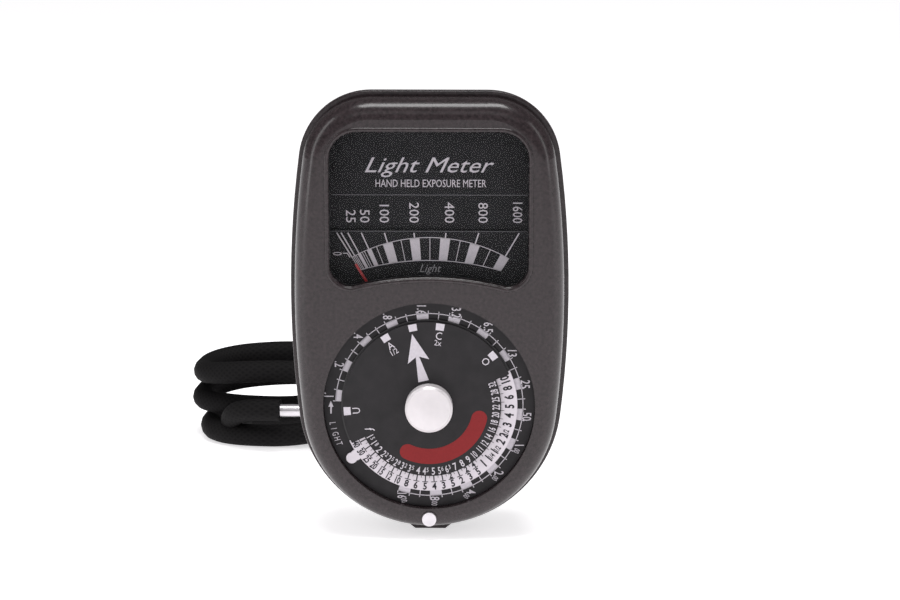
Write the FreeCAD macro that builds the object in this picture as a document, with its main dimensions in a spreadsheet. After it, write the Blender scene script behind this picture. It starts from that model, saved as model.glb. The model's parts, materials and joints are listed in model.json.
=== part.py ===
"""Handheld light meter: a two-shell enamelled case with a calculator dial, a moving-coil
movement behind a glazed scale, a photocell under a hinged perforated baffle, and a neck cord.

Frame: X to the right seen from the front, -Y is the front face, +Z up. The lug stands on z = 0.
All lengths are in millimetres."""
import FreeCAD, Part
import math
import os
import re
import Sketcher

V = FreeCAD.Vector

SIZES = {
    # case outline, measured from the dial axis
    "dial_z": 30.0, "half_width": 30.0, "bottom_radius": 28.6, "side_radius": 225.0,
    "corner_radius": 15.6, "top_height": 67.5,
    # depth levels of the case
    "face_y": -11.3, "seam_y": -4.3, "back_y": 12.0, "front_inset": 1.05, "front_round": 4.2,
    "groove_depth": 0.6, "groove_width": 0.7, "edge_round": 0.3,
    "rim_depth": 2.0, "rear_inset": 1.2, "rear_draft": 6.0, "rear_round": 3.0,
    "front_wall": 1.6, "face_wall": 1.5, "rear_cavity_inset": 4.3, "back_wall": 1.6,
    # dial well and calculator dial
    "well_radius": 22.8, "well_wall": 1.4, "well_floor_y": -8.1, "floor_wall": 1.2,
    "dial_gap": 0.1, "light_dial_front": -9.5, "light_dial_back": -8.4,
    "ring_front": -10.1, "ring_back": -9.6, "top_front": -10.9, "top_back": -10.2,
    "top_radius": 18.6, "lower_radius": 15.5, "sector_start": 22.8, "sector_sweep": 183.4,
    "ring_radius": 19.0, "hub_radius": 5.0, "running_gap": 0.06,
    "tab_angle": 215.0, "tab_reach": 20.5, "tab_radius": 1.2,
    "post_radius": 1.4, "post_head": 2.4, "knob_radius": 5.1, "knob_front": -14.0,
    "knob_bevel": 0.5, "knob_hollow": 3.2,
    # lock button
    "button_drop": 25.0, "button_radius": 1.53, "button_front": -12.0, "button_back": -5.9,
    "button_key": 2.3, "key_thick": 0.5, "spring_radius": 0.85,
    # window
    "window_half": 21.2, "window_top": 59.6, "window_corner": 6.0, "window_low": 26.2,
    "window_lower_corner": 4.7, "window_arch": 28.3, "lip_depth": 0.65,
    "glass_margin": 1.2, "glass_thick": 1.0, "gasket_thick": 0.5,
    # scale and range plates
    "scale_front": -5.0, "scale_back": -4.5, "band_low": 37.4, "band_high": 45.0,
    "range_front": -4.1, "range_back": -3.7, "range_travel": 7.5,
    # movement
    "pivot_z": 34.0, "needle_length": 30.6, "needle_angle": 31.2, "needle_width": 0.5,
    "needle_front": -5.8, "needle_back": -5.45, "core_radius": 4.2, "pole_radius": 6.2,
    "magnet_inner": 8.5, "magnet_outer": 13.0, "magnet_front": -3.4, "magnet_back": 3.6,
    "coil_half": 5.5, "coil_wire": 0.8, "pivot_radius": 0.5, "bridge_half": 1.35,
    "leg_offset": 10.75, "leg_radius": 1.3,
    # zero adjuster
    "zero_z": 22.0, "zero_radius": 2.2, "zero_offset": 0.8, "zero_pin": 0.4,
    # photocell and baffle
    "cell_half": 19.5, "cell_low": 48.0, "cell_high": 87.0, "cell_front": 9.3, "cell_back": 10.3,
    "open_half": 18.3, "open_low": 49.2, "open_high": 85.8,
    "baffle_half": 19.5, "baffle_low": 48.9, "baffle_high": 86.4, "baffle_front": 12.3, "baffle_back": 13.2,
    "baffle_corner": 4.0, "hole_radius": 1.35, "hole_pitch_x": 4.4, "hole_pitch_z": 4.5,
    "hinge_y": 12.75, "hinge_z": 47.2, "knuckle_radius": 1.25, "pin_radius": 0.6,
    "knuckle_half": 13.7, "lug_inner": 14.1, "lug_outer": 17.6,
    # fixings
    "screw_radius": 1.0, "screw_head": 1.9, "screw_low_x": 14.5, "screw_low_z": 12.5,
    "screw_high_x": 12.0, "screw_high_z": 92.7,
    # lug and neck cord
    "foot_wide": 10.6, "foot_narrow": 6.6, "foot_front": -1.6, "foot_back": 3.4, "foot_top": 3.4,
    "ferrule_radius": 1.2, "ferrule_end": 15.0,
    "cord_diameter": 5.4, "coil_x": -36.5, "coil_y": 80.0, "coil_half_long": 27.0,
    "coil_half_wide": 17.0, "coil_height": 23.0, "coil_hole": 6.0,
    "end_ferrule_radius": 1.5, "end_ferrule_z": 10.5,
}

doc = FreeCAD.newDocument("light_meter")
sheet = doc.addObject("Spreadsheet::Sheet", "sizes")
for row, (alias, number) in enumerate(SIZES.items(), start=1):
    sheet.set(f"A{row}", str(number))
    sheet.setAlias(f"A{row}", alias)
doc.recompute()

NODES = {}
FRONT = FreeCAD.Rotation(V(1, 0, 0), 90)


def full(formula):
    """The formula with every size name pointed at the sheet."""
    return re.sub(r"\b([a-z]+_[a-z_]*[a-z])\b", r"sizes.\1", str(formula))


def value(formula):
    """The number a formula gives with the sizes in the sheet."""
    return float(sheet.evalExpression(full(formula)))


def bind(obj, prop, formula):
    obj.setExpression(prop, full(formula))
    return obj


def node(name, obj):
    """Registers a finished sub-part under its own name."""
    obj.Label = name
    NODES[name] = obj
    return obj


def at(obj, x, y, z, turn=None):
    if turn is not None:
        obj.Placement = FreeCAD.Placement(V(0, 0, 0), turn)
    bind(obj, "Placement.Base.x", x)
    bind(obj, "Placement.Base.y", y)
    bind(obj, "Placement.Base.z", z)
    return obj


def rod(name, radius, x, z, front, back, start=0.0, sweep=None):
    """A cylinder along Y between two depths, or a sector of one."""
    obj = doc.addObject("Part::Cylinder", name)
    bind(obj, "Radius", radius)
    bind(obj, "Height", f"({back}) - ({front})")
    turn = FRONT * FreeCAD.Rotation(V(0, 0, 1), start)
    if sweep is not None:
        bind(obj, "Angle", sweep)
    return at(obj, x, back, z, turn)


def bar(name, radius, y, z, left, right):
    """A cylinder along X."""
    obj = doc.addObject("Part::Cylinder", name)
    bind(obj, "Radius", radius)
    bind(obj, "Height", f"({right}) - ({left})")
    return at(obj, left, y, z, FreeCAD.Rotation(V(0, 1, 0), 90))


def block(name, left, right, front, back, low, high):
    obj = doc.addObject("Part::Box", name)
    bind(obj, "Length", f"({right}) - ({left})")
    bind(obj, "Width", f"({back}) - ({front})")
    bind(obj, "Height", f"({high}) - ({low})")
    return at(obj, left, front, low)


def bevel(name, wide, narrow, x, z, front, back):
    """A cone along Y, narrow towards the front."""
    obj = doc.addObject("Part::Cone", name)
    bind(obj, "Radius1", wide)
    bind(obj, "Radius2", narrow)
    bind(obj, "Height", f"({back}) - ({front})")
    return at(obj, x, back, z, FRONT)


def join(name, *pieces):
    obj = doc.addObject("Part::MultiFuse", name)
    obj.Shapes = list(pieces)
    return obj


def cut(name, base, *tools):
    obj = doc.addObject("Part::Cut", name)
    obj.Base = base
    obj.Tool = tools[0] if len(tools) == 1 else join(name + "_tools", *tools)
    doc.recompute()
    if obj.Shape.isNull() or obj.Shape.Volume > base.Shape.Volume - 1e-6:
        raise RuntimeError(f"{name}: the cut removed nothing")
    return obj


def plane(body, role):
    return next(part for part in body.Origin.OriginFeatures if part.Role == role)


def arc_centre(p, q, radius):
    """Centre of the minor arc that runs anticlockwise from p to q."""
    mid = (p + q) * 0.5
    half = (q - p) * 0.5
    rise = math.sqrt(max(radius * radius - half.Length * half.Length, 0.0))
    return mid + V(-half.y, half.x, 0).normalize() * rise


def draw(sketch, corners):
    """Draws a closed outline. Each corner is (x, z, radius of the edge that leaves it):
    None is a straight edge, and a minus sign makes the arc bulge inwards."""
    points = [V(value(x), value(z), 0) for x, z, _ in corners]
    ends = []
    for index, (_, _, radius) in enumerate(corners):
        p, q = points[index], points[(index + 1) % len(points)]
        if radius is None:
            geo = sketch.addGeometry(Part.LineSegment(p, q))
            ends.append((geo, 1, 2))
            continue
        inward = radius.startswith("-")
        first, last = (q, p) if inward else (p, q)
        centre = arc_centre(first, last, value(radius.lstrip("-")))
        circle = Part.Circle(centre, V(0, 0, 1), (first - centre).Length)
        begin = math.atan2(first.y - centre.y, first.x - centre.x)
        finish = math.atan2(last.y - centre.y, last.x - centre.x)
        geo = sketch.addGeometry(Part.ArcOfCircle(circle, begin, finish))
        ends.append((geo, 2, 1) if inward else (geo, 1, 2))
        size = sketch.addConstraint(Sketcher.Constraint("Radius", geo, circle.Radius))
        bind(sketch, f"Constraints[{size}]", radius.lstrip("-"))
    for index, (x, z, _) in enumerate(corners):
        geo, start, _ = ends[index]
        before, _, finish = ends[index - 1]
        sketch.addConstraint(Sketcher.Constraint("Coincident", before, finish, geo, start))
        for kind, formula, number in (("DistanceX", x, points[index].x), ("DistanceY", z, points[index].y)):
            place = sketch.addConstraint(Sketcher.Constraint(kind, -1, 1, geo, start, number))
            bind(sketch, f"Constraints[{place}]", formula)


def prism(name, corners, front, back, draft=None, backward=False):
    """A body: an outline in the XZ plane made solid between two depths."""
    body = doc.addObject("PartDesign::Body", name)
    sketch = body.newObject("Sketcher::SketchObject", name + "_outline")
    sketch.AttachmentSupport = [(plane(body, "XZ_Plane"), "")]
    sketch.MapMode = "FlatFace"
    base = front if backward else back
    bind(sketch, "AttachmentOffset.Base.z", f"-({base})")
    draw(sketch, corners)
    doc.recompute()
    pad = body.newObject("PartDesign::Pad", name + "_pad")
    pad.Profile = sketch
    pad.Reversed = backward
    bind(pad, "Length", f"({back}) - ({front})")
    if draft is not None:
        bind(pad, "TaperAngle", draft)
    doc.recompute()
    return body


def round_edges(body, depth, radius):
    """Rounds every edge of the body that lies wholly at one depth."""
    solid = body.Tip
    shape = solid.Shape
    level = value(depth)
    names = []
    for number, edge in enumerate(shape.Edges, start=1):
        box = edge.BoundBox
        if abs(box.YMin - level) < 1e-4 and abs(box.YMax - level) < 1e-4:
            names.append(f"Edge{number}")
    fillet = body.newObject("PartDesign::Fillet", body.Name + "_round")
    fillet.Base = (solid, names)
    bind(fillet, "Radius", radius)
    body.Tip = fillet
    doc.recompute()
    return body


def mirrored(right):
    """Closes an outline: the right half from the bottom up, then its mirror image."""
    left = []
    for index in range(len(right) - 1, -1, -1):
        x, z, _ = right[index]
        edge = right[index - 1][2] if index else None
        left.append((f"-({x})", z, edge))
    return right + left


def case_outline(inset):
    """The case's outline, drawn in by an amount all round."""
    side_z = "sqrt((half_width - bottom_radius) * (2 * side_radius - bottom_radius - half_width))"
    side_x = "(half_width - side_radius)"
    top_z = "(top_height - corner_radius)"
    reach = f"((side_radius - corner_radius)^2 - ({top_z} - {side_z})^2)"
    top_x = f"(half_width - side_radius + sqrt{reach})"
    low = f"((bottom_radius - {inset}) / (side_radius - bottom_radius))"
    high = f"((corner_radius - {inset}) / (side_radius - corner_radius))"
    right = [
        (f"-{side_x} * {low}", f"dial_z - {side_z} * {low}", f"side_radius - {inset}"),
        (f"{top_x} + ({top_x} - {side_x}) * {high}",
         f"dial_z + {top_z} + ({top_z} - {side_z}) * {high}", f"corner_radius - {inset}"),
        (top_x, f"dial_z + top_height - {inset}", None),
    ]
    outline = mirrored(right)
    x, z, _ = outline[-1]
    outline[-1] = (x, z, f"bottom_radius - {inset}")
    return outline


def window_outline(grow):
    """The window's outline: round corners and a lower edge arched over the dial."""
    half = f"(window_half + {grow})"
    top = f"(dial_z + window_top + {grow})"
    low = f"(dial_z + window_low - {grow})"
    upper = f"(window_corner + {grow})"
    lower = f"(window_lower_corner + {grow})"
    flat = f"({half} - {lower})"
    rise = "(window_arch - window_low)"
    right = [
        (flat, low, lower),
        (half, f"{low} + {lower}", None),
        (half, f"{top} - {upper}", upper),
        (f"{half} - {upper}", top, None),
    ]
    outline = mirrored(right)
    x, z, _ = outline[-1]
    outline[-1] = (x, z, f"-({flat}^2 + {rise}^2) / (2 * {rise})")
    return outline


def rectangle(half, low, high, corner):
    right = [
        (f"{half} - {corner}", low, corner),
        (half, f"{low} + {corner}", None),
        (half, f"{high} - {corner}", corner),
        (f"{half} - {corner}", high, None),
    ]
    return mirrored(right)


def pair(make, name, x, *rest):
    """The same piece on the right and on the left."""
    return [make(name + "_right", *[f"{x}" if item == "X" else item for item in rest]),
            make(name + "_left", *[f"-({x})" if item == "X" else item for item in rest])]


# ---- front case -------------------------------------------------------------------------
groove_y = "(seam_y - groove_width)"
front = prism("front_blank", case_outline("front_inset"), "face_y", groove_y)
round_edges(front, "face_y", "front_round")
round_edges(front, groove_y, "edge_round")
collar = prism("front_collar", case_outline("(front_inset + groove_depth)"), f"{groove_y} - 1", "seam_y")
front = join("front_outer", front, collar)
hollow = prism("front_hollow", case_outline("(front_inset + front_wall)"),
               "face_y + face_wall", "seam_y + 1")
doc.recompute()
shell = cut("front_shell", front, hollow)
floor_back = "(well_floor_y + floor_wall)"
bosses = [rod("well_cup", "well_radius + well_wall", "0", "dial_z", "face_y + face_wall", floor_back)]
for label, x, z, top in (("low", "screw_low_x", "screw_low_z", floor_back),
                         ("high", "screw_high_x", "screw_high_z", "face_y + face_wall")):
    bosses += pair(rod, f"boss_{label}", x, "1.7", "X", z, top, "seam_y")
bosses += pair(rod, "plate_boss", "21.5", "1.5", "X", "52.5", "face_y + face_wall", "scale_front")
solid = join("front_solid", shell, *bosses)
openings = [
    rod("well", "well_radius", "0", "dial_z", "face_y - 1", "well_floor_y"),
    rod("button_hole", "button_radius + running_gap", "0", "dial_z - button_drop", "face_y - 1", "0"),
    rod("post_hole", "post_radius", "0", "dial_z", "face_y", "0"),
    prism("window_lip", window_outline("lip_depth"), "face_y", "face_y + lip_depth", draft="-45.0",
          backward=True),
    prism("window_hole", window_outline("0.0"), "face_y - 1", "face_y + face_wall + 0.5"),
]
for label, x, z, top in (("low", "screw_low_x", "screw_low_z", f"{floor_back} + 0.1"),
                         ("high", "screw_high_x", "screw_high_z", "face_y + face_wall + 1")):
    openings += pair(rod, f"tapped_{label}", x, "screw_radius", "X", z, top, "0")
openings += pair(rod, "plate_tapped", "21.5", "0.6", "X", "52.5", "scale_front - 2", "0")
node("front_case", cut("front_case", solid, *openings))

# ---- rear case --------------------------------------------------------------------------
rim = prism("rear_rim", case_outline("0.0"), "seam_y", "seam_y + rim_depth")
round_edges(rim, "seam_y", "edge_round")
body = prism("rear_blank", case_outline("rear_inset"), "seam_y + rim_depth", "back_y",
             draft="-rear_draft", backward=True)
round_edges(body, "back_y", "rear_round")
outer = join("rear_outer", rim, body)
inside = prism("rear_hollow", case_outline("rear_cavity_inset"), "seam_y - 1", "back_y - back_wall")
rear = cut("rear_shell", outer, inside)
columns = pair(rod, "column_low", "screw_low_x", "2.4", "X", "screw_low_z", "seam_y", "back_y - 1")
columns += pair(rod, "column_high", "screw_high_x", "2.4", "X", "screw_high_z", "seam_y", "back_y - 1")
columns.append(rod("zero_boss", "zero_radius + 1.3", "0", "zero_z", "9.0", "back_y - 1"))
rear_solid = join("rear_solid", rear, *columns)
holes = [
    prism("cell_opening", rectangle("open_half", "open_low", "open_high", "3.0"), "8", "back_y + 1"),
    bar("hinge_trough", "knuckle_radius + 0.35", "hinge_y", "hinge_z", "-lug_outer - 0.2", "lug_outer + 0.2"),
    rod("zero_head_hole", "zero_radius + running_gap", "0", "zero_z", "10.8", "back_y + 1"),
    rod("zero_stem_hole", "1.06", "0", "zero_z", "5", "back_y"),
    block("plate_recess", "-15", "15", "back_y - 0.4", "back_y + 1", "26", "42"),
    block("foot_slot", "-foot_wide / 2", "foot_wide / 2", "foot_front", "foot_back", "-1", "foot_top"),
]
for label, x, z in (("low", "screw_low_x", "screw_low_z"), ("high", "screw_high_x", "screw_high_z")):
    holes += pair(rod, f"shank_hole_{label}", x, "screw_radius", "X", z, "seam_y - 1", "back_y")
    holes += pair(rod, f"head_hole_{label}", x, "screw_head", "X", z, "10.9", "back_y + 1")
node("rear_case", cut("rear_case", rear_solid, *holes))

# ---- window -----------------------------------------------------------------------------
glass_back = "(face_y + face_wall + glass_thick)"
node("window_glass", prism("window_glass", window_outline("glass_margin"),
                           "face_y + face_wall", glass_back))
gasket = prism("gasket_blank", window_outline("glass_margin"), glass_back, f"{glass_back} + gasket_thick")
node("window_gasket", cut("window_gasket", gasket,
                          prism("gasket_hole", window_outline("0.0"), "-11", "-6")))

# ---- scale and range plates -------------------------------------------------------------
plate = prism("scale_blank", window_outline("glass_margin"), "scale_front", "scale_back")
ears = pair(rod, "scale_ear", "21.5", "1.5", "X", "52.5", "scale_front", "scale_back")
necks = [block("scale_neck_right", "20", "22.4", "scale_front", "scale_back", "52.5", "62"),
         block("scale_neck_left", "-22.4", "-20", "scale_front", "scale_back", "52.5", "62")]
band = block("scale_band", "-window_half", "window_half", "-6", "-4", "dial_z + band_low", "dial_z + band_high")
ear_holes = pair(rod, "ear_hole", "21.5", "0.6", "X", "52.5", "-6", "-4")
node("scale_plate", cut("scale_plate", join("scale_solid", plate, *ears, *necks), band, *ear_holes))
screws = []
for head in pair(rod, "plate_screw_head", "21.5", "1.1", "X", "52.5", "scale_back", "scale_back + 0.6"):
    screws.append(head)
screws += pair(rod, "plate_screw_shank", "21.5", "0.6", "X", "52.5", "scale_front - 1.8", "scale_back")
node("plate_screws", join("plate_screws", *screws))
node("range_plate", block("range_plate", "-window_half - 0.2", "window_half + 0.2", "range_front", "range_back",
                          "dial_z + band_low - range_travel - 0.6", "dial_z + band_high + 0.4"))
guides = [block("guide_right", "22.0", "23.4", "range_front - 0.4", "range_back + 0.5", "58", "84.3"),
          block("guide_left", "-23.4", "-22.0", "range_front - 0.4", "range_back + 0.5", "58", "84.3")]
node("range_guides", join("range_guides", *guides))
link_top = "(dial_z + band_low - range_travel - 0.6)"
node("range_link", join("range_link",
                        block("link_strip", "17", "18.6", "range_front", "range_back", "50", link_top),
                        block("link_arm", "17", "18.6", "range_front", "8.4", "49", "50")))

# ---- calculator dial --------------------------------------------------------------------
node("dial_post", join("dial_post",
                       rod("post_shaft", "post_radius", "0", "dial_z", "top_front - 0.9", floor_back + " + 0.1"),
                       rod("post_front_head", "post_head", "0", "dial_z", "top_front - 0.9", "top_front - 0.3"),
                       rod("post_rear_head", "post_head", "0", "dial_z", floor_back, f"{floor_back} + 0.5")))
node("light_dial", cut("light_dial",
                       rod("light_disc", "well_radius - dial_gap", "0", "dial_z", "light_dial_front",
                           "light_dial_back"),
                       rod("light_bore", "hub_radius + running_gap", "0", "dial_z", "-12", "-6")))
tab_x = "cos(tab_angle * 1deg)"
tab_z = "sin(tab_angle * 1deg)"
tab = rod("ring_tab_tip", "tab_radius", f"tab_reach * {tab_x}", f"dial_z + tab_reach * {tab_z}",
          "ring_front", "ring_back")
neck = rod("ring_tab_neck", "tab_radius", f"(tab_reach - 1.2) * {tab_x}",
           f"dial_z + (tab_reach - 1.2) * {tab_z}", "ring_front", "ring_back")
node("speed_ring", cut("speed_ring",
                       join("ring_solid", rod("ring_disc", "ring_radius", "0", "dial_z", "ring_front",
                                              "ring_back"), tab, neck),
                       rod("ring_bore", "hub_radius + running_gap", "0", "dial_z", "-12", "-6")))
top_disc = join("top_disc",
                rod("top_small", "lower_radius", "0", "dial_z", "top_front", "top_back"),
                rod("top_sector", "top_radius", "0", "dial_z", "top_front", "top_back",
                    start=SIZES["sector_start"], sweep="sector_sweep"),
                rod("top_hub", "hub_radius", "0", "dial_z", "top_front", "light_dial_back"))
node("exposure_dial", cut("exposure_dial", top_disc,
                          rod("top_bore", "post_radius + running_gap", "0", "dial_z", "-12", "-6")))
knob_edge = "(knob_front + knob_bevel)"
knob = join("knob_solid",
            rod("knob_body", "knob_radius", "0", "dial_z", knob_edge, "top_front"),
            bevel("knob_chamfer", "knob_radius", "knob_radius - knob_bevel", "0", "dial_z",
                  "knob_front", knob_edge))
node("dial_knob", cut("dial_knob", knob,
                      rod("knob_inside", "knob_hollow", "0", "dial_z", "top_front - 1.4", "top_front + 1")))

# ---- lock button ------------------------------------------------------------------------
button_z = "(dial_z - button_drop)"
node("lock_button", join("lock_button",
                         rod("button_stem", "button_radius", "0", button_z, "button_front", "button_back"),
                         block("button_key", "-button_key", "button_key", "button_back - key_thick",
                               "button_back", f"{button_z} - 0.6", f"{button_z} + 1.8")))
spring_seat = "(seam_y - 0.65)"
node("lock_spring", cut("lock_spring",
                        rod("spring_outer", "spring_radius", "0", button_z, "button_back", spring_seat),
                        rod("spring_inner", "spring_radius - 0.35", "0", button_z, "-7", "-3")))
legs = pair(rod, "bracket_leg", "4.2", "1.1", "X", f"{button_z} + 4.4", floor_back, spring_seat)
node("lock_bracket", join("lock_bracket",
                          block("bracket_plate", "-5.4", "5.4", spring_seat, "seam_y - 0.1",
                                f"{button_z} + 3", f"{button_z} + 5.6"),
                          block("bracket_tongue", "-2.2", "2.2", spring_seat, "seam_y - 0.1",
                                f"{button_z} - 0.5", f"{button_z} + 4"), *legs))

# ---- movement ---------------------------------------------------------------------------
magnet = cut("magnet_ring",
             rod("magnet_outside", "magnet_outer", "0", "pivot_z", "magnet_front", "magnet_back"),
             rod("magnet_inside", "magnet_inner", "0", "pivot_z", "-5", "5"))
node("magnet", cut("magnet", magnet,
                   block("magnet_gap", "-2.5", "2.5", "-5", "5", "pivot_z - 15", "pivot_z - 9")))
shoes = cut("shoe_ring",
            rod("shoe_outside", "magnet_inner", "0", "pivot_z", "magnet_front", "magnet_back"),
            rod("shoe_inside", "pole_radius", "0", "pivot_z", "-5", "5"))
node("pole_shoes", cut("pole_shoes", shoes,
                       block("shoe_gap", "-2", "2", "-5", "5", "pivot_z - 12", "pivot_z + 12")))
node("core", join("core",
                  rod("core_round", "core_radius", "0", "pivot_z", "-3.0", "3.2"),
                  block("core_bar", "-1", "1", "-1", "1", "pivot_z - magnet_inner", "pivot_z + magnet_inner - 0.05")))
hinge_turn = FreeCAD.Rotation(V(0, 1, 0), -SIZES["needle_angle"])


def on_needle(obj, side, depth, reach):
    """Places a box on the movement's arm, which leans from the vertical at rest."""
    lean = "needle_angle * 1deg"
    obj.Placement = FreeCAD.Placement(V(0, 0, 0), hinge_turn)
    bind(obj, "Placement.Base.x", f"({side}) * cos({lean}) - ({reach}) * sin({lean})")
    bind(obj, "Placement.Base.y", depth)
    bind(obj, "Placement.Base.z", f"pivot_z + ({side}) * sin({lean}) + ({reach}) * cos({lean})")
    return obj


def arm_box(name, wide, thick, tall, side, depth, reach):
    obj = doc.addObject("Part::Box", name)
    bind(obj, "Length", wide)
    bind(obj, "Width", thick)
    bind(obj, "Height", tall)
    return on_needle(obj, side, depth, reach)


pointer = arm_box("pointer", "needle_width", "needle_back - needle_front", "needle_length",
                  "-needle_width / 2", "needle_front", "0")
tail = arm_box("needle_tail", "needle_width", "needle_back - needle_front", "7", "-needle_width / 2",
               "needle_front", "-7")
weight = arm_box("needle_weight", "2.2", "0.55", "1.6", "-1.1", "-5.9", "-8.4")
hub = rod("needle_hub", "1.2", "0", "pivot_z", "-5.9", "-5.3")
node("needle", cut("needle", join("needle_solid", pointer, tail, weight, hub),
                   rod("needle_bore", "pivot_radius", "0", "pivot_z", "-7", "-5")))
frame_out = arm_box("coil_outside", "2 * coil_half", "8.2", "2.4", "-coil_half", "-4.1", "-1.2")
frame_in = arm_box("coil_inside", "2 * (coil_half - coil_wire)", "6.8", "3", "-coil_half + coil_wire",
                   "-3.4", "-1.5")
node("moving_coil", cut("moving_coil", frame_out, frame_in))
node("pivots", join("pivots",
                    rod("pivot_front", "pivot_radius", "0", "pivot_z", "-6.2", "-4.1"),
                    rod("pivot_rear", "pivot_radius", "0", "pivot_z", "4.1", "5.45")))
springs = [cut("hair_front", rod("hair_front_disc", "3.0", "0", "pivot_z", "-4.95", "-4.75"),
               rod("hair_front_bore", "pivot_radius", "0", "pivot_z", "-6", "-4")),
           cut("hair_rear", rod("hair_rear_disc", "3.0", "0", "pivot_z", "4.7", "4.9"),
               rod("hair_rear_bore", "pivot_radius", "0", "pivot_z", "4", "6"))]
node("hairsprings", join("hairsprings", *springs))
for label, near, far, tip in (("front", "-6.8", "-6.2", "magnet_front"), ("rear", "5.5", "6.2", "magnet_back")):
    low, high = (far, tip) if label == "front" else (tip, near)
    feet = pair(rod, f"{label}_leg", "leg_offset", "leg_radius", "X", "pivot_z", low, high)
    beam = block(f"{label}_beam", "-12.3", "12.3", near, far, "pivot_z - bridge_half", "pivot_z + bridge_half")
    node(f"{label}_bridge", cut(f"{label}_bridge", join(f"{label}_bridge_solid", beam, *feet),
                                rod(f"{label}_bore", "0.9", "0", "pivot_z", near + " - 1", far + " + 1")))
node("jewel_screws", join("jewel_screws",
                          rod("jewel_front", "0.9", "0", "pivot_z", "-6.8", "-6.25"),
                          rod("jewel_rear", "0.9", "0", "pivot_z", "5.5", "7.2")))
lever = join("lever_solid",
             rod("lever_ring", "2.2", "0", "pivot_z", "6.5", "6.9"),
             block("lever_arm", "-1.3", "1.3", "6.5", "6.9", "zero_z - 0.4", "pivot_z"))
node("zero_lever", cut("zero_lever", lever,
                       rod("lever_bore", "0.95", "0", "pivot_z", "6", "8"),
                       block("lever_slot", "-zero_pin - 0.1", "zero_pin + 0.1", "6", "8", "zero_z - 1",
                             "zero_z + zero_offset + 1.2")))
zero = join("zero_solid",
            rod("zero_head", "zero_radius", "0", "zero_z", "10.85", "11.85"),
            rod("zero_stem", "1.0", "0", "zero_z", "7.2", "10.85"),
            rod("zero_crank", "1.5", "0", "zero_z", "7.2", "7.8"),
            rod("zero_peg", "zero_pin", "0", "zero_z + zero_offset", "6.4", "7.3"))
node("zero_adjuster", cut("zero_adjuster", zero,
                          block("zero_slot", "-3", "3", "11.35", "13", "zero_z - 0.35", "zero_z + 0.35")))

# ---- photocell --------------------------------------------------------------------------
node("photocell", prism("photocell", rectangle("cell_half", "cell_low", "cell_high", "2.0"),
                        "cell_front", "cell_back"))
retainer = block("retainer_solid", "-cell_half", "cell_half", "cell_front - 0.6", "cell_front",
                 "cell_low", "cell_high")
node("cell_retainer", cut("cell_retainer", retainer,
                          block("retainer_hole", "-cell_half + 3", "cell_half - 3", "7", "10",
                                "cell_low + 3", "cell_high - 3")))
node("terminal_board", block("terminal_board", "-12.5", "12.5", "magnet_back", "magnet_back + 0.8",
                             "44.2", "52"))
node("trim_resistor", bar("trim_resistor", "1.4", "magnet_back + 0.8 + 1.4", "47.5", "-5", "5"))
node("cell_leads", join("cell_leads",
                        *pair(rod, "cell_lead", "9", "0.4", "X", "49.5", "magnet_back + 0.8",
                              "cell_front - 0.6")))

# ---- baffle and its hinge ---------------------------------------------------------------
sheet_body = prism("baffle_blank", rectangle("baffle_half", "baffle_low", "baffle_high", "baffle_corner"),
                   "baffle_front", "baffle_back")
column = sheet_body.newObject("Sketcher::SketchObject", "baffle_holes")
column.AttachmentSupport = [(plane(sheet_body, "XZ_Plane"), "")]
column.MapMode = "FlatFace"
bind(column, "AttachmentOffset.Base.z", "-(baffle_front - 1)")
HOLE_ROWS, HOLE_COLUMNS = 8, 8
for line in range(HOLE_ROWS):
    x = f"-hole_pitch_x * {(HOLE_COLUMNS - 1) / 2}"
    z = f"(baffle_low + baffle_high) / 2 + hole_pitch_z * {line - (HOLE_ROWS - 1) / 2}"
    geo = column.addGeometry(Part.Circle(V(value(x), value(z), 0), V(0, 0, 1), value("hole_radius")))
    number = column.addConstraint(Sketcher.Constraint("Radius", geo, value("hole_radius")))
    bind(column, f"Constraints[{number}]", "hole_radius")
    number = column.addConstraint(Sketcher.Constraint("DistanceX", -1, 1, geo, 3, value(x)))
    bind(column, f"Constraints[{number}]", x)
    number = column.addConstraint(Sketcher.Constraint("DistanceY", -1, 1, geo, 3, value(z)))
    bind(column, f"Constraints[{number}]", z)
doc.recompute()
punch = sheet_body.newObject("PartDesign::Pocket", "baffle_punch")
punch.Profile = column
bind(punch, "Length", "baffle_back - baffle_front + 2")
doc.recompute()
rows = sheet_body.newObject("PartDesign::LinearPattern", "baffle_rows")
rows.Originals = [punch]
rows.Direction = (column, ["H_Axis"])
rows.Occurrences = HOLE_COLUMNS
bind(rows, "Length", f"hole_pitch_x * {HOLE_COLUMNS - 1}")
sheet_body.Tip = rows
doc.recompute()
tube = bar("baffle_knuckle", "knuckle_radius", "hinge_y", "hinge_z", "-knuckle_half", "knuckle_half")
grip = block("baffle_grip", "-4", "4", "baffle_front", "baffle_back", "baffle_high - 1", "baffle_high + 1.2")
web = block("baffle_web", "-knuckle_half", "knuckle_half", "baffle_front", "baffle_back", "hinge_z", "hinge_z + 3")
node("baffle", cut("baffle", join("baffle_solid", sheet_body, tube, grip, web),
                   bar("baffle_bore", "pin_radius + running_gap", "hinge_y", "hinge_z", "-20", "20")))
node("hinge_pin", bar("hinge_pin", "pin_radius", "hinge_y", "hinge_z", "-lug_outer", "lug_outer"))
ends = []
for side, low, high in (("right", "lug_inner", "lug_outer"), ("left", "-lug_outer", "-lug_inner")):
    ends.append(bar(f"lug_{side}", "knuckle_radius", "hinge_y", "hinge_z", low, high))
    ends.append(block(f"lug_foot_{side}", low, high, "hinge_y - knuckle_radius - 0.27", "hinge_y",
                      "hinge_z - 0.5", "hinge_z + 0.5"))
node("hinge_lugs", cut("hinge_lugs", join("lugs_solid", *ends),
                       bar("lugs_bore", "pin_radius", "hinge_y", "hinge_z", "-20", "20")))
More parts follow.
